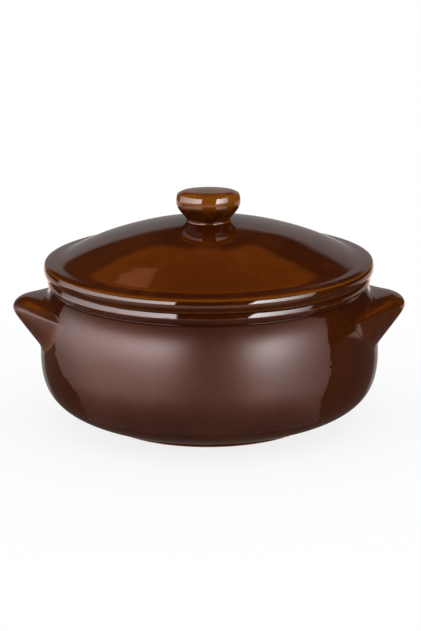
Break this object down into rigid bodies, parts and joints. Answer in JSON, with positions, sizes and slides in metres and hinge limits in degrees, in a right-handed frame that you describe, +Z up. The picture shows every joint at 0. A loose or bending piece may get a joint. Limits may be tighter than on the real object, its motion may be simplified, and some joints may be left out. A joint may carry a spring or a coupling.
{
  "type": "lidded pot",
  "caption": "Low round glazed stoneware pot with a lug handle at either side, a foot ring, and a domed lid with a knob that lifts off.",
  "frame": {"origin": "on the table, at the middle of the foot ring, on the axis of the pot", "axes": "+Z up along the axis of the pot and the lid, +X from lug_left through the axis to lug_right, +Y away from the viewer of the picture"},
  "size_m": [0.262, 0.226, 0.1571],
  "materials": {
    "pot_glaze": "thin brown glaze with a satin gloss",
    "lug_glaze": "clear amber-brown gloss glaze",
    "lid_glaze": "clear amber-brown gloss glaze",
    "knob_glaze": "clear amber-brown gloss glaze"
  },
  "bodies": {
    "pot": {"pot_body": "pot_glaze", "lug_left": "lug_glaze", "lug_right": "lug_glaze"},
    "lid": {"lid": "lid_glaze", "lid_knob": "knob_glaze"}
  },
  "joints": [
    {"name": "lid_lift", "type": "slide", "parent": "pot", "child": "lid", "axis": [0, 0, 1], "range_m": [0, 0.12]}
  ]
}
